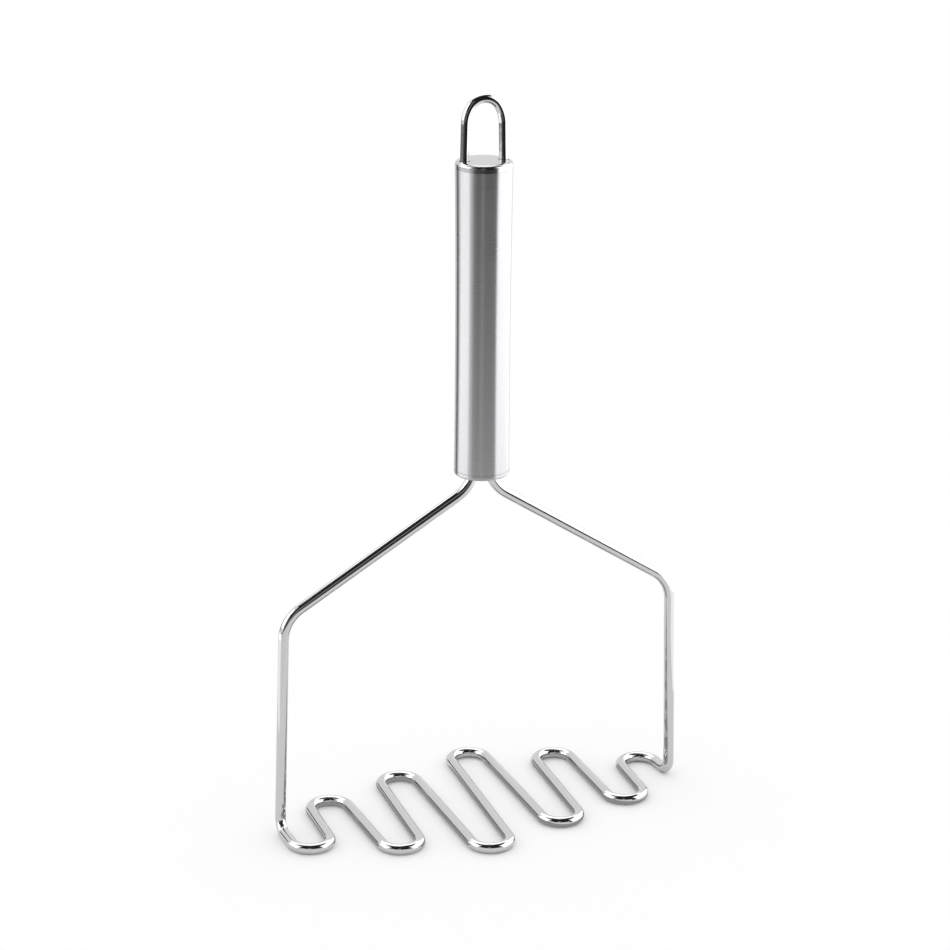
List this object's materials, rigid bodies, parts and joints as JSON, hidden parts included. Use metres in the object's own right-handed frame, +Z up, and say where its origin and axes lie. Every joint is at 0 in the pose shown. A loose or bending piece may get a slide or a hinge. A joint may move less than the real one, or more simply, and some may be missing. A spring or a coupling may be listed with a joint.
{
  "type": "potato masher",
  "caption": "Wire potato masher: a bent steel wire frame with a flat serpentine foot, a slim closed tube handle and a hanging loop on its end cap.",
  "frame": {"origin": "on the ground below the handle's axis, at the middle of the foot", "axes": "+Z up along the handle's axis, +X across the frame from one upright to the other, +Y towards the foot's back turns"},
  "size_m": [0.1618, 0.0891, 0.2756],
  "materials": {
    "polished_wire": "mirror-polished stainless steel",
    "satin_tube": "satin stainless steel, brushed round the tube",
    "polished_cap": "polished stainless steel",
    "weld_metal": "bare weld bead, dull and slightly straw-coloured"
  },
  "bodies": {
    "root": {"masher_wire": "polished_wire", "handle_tube": "satin_tube", "handle_base_cap": "satin_tube", "handle_top_cap": "polished_cap", "hanging_loop": "polished_wire", "leg_weld": "weld_metal", "loop_weld_left": "weld_metal", "loop_weld_right": "weld_metal"}
  },
  "joints": []
}
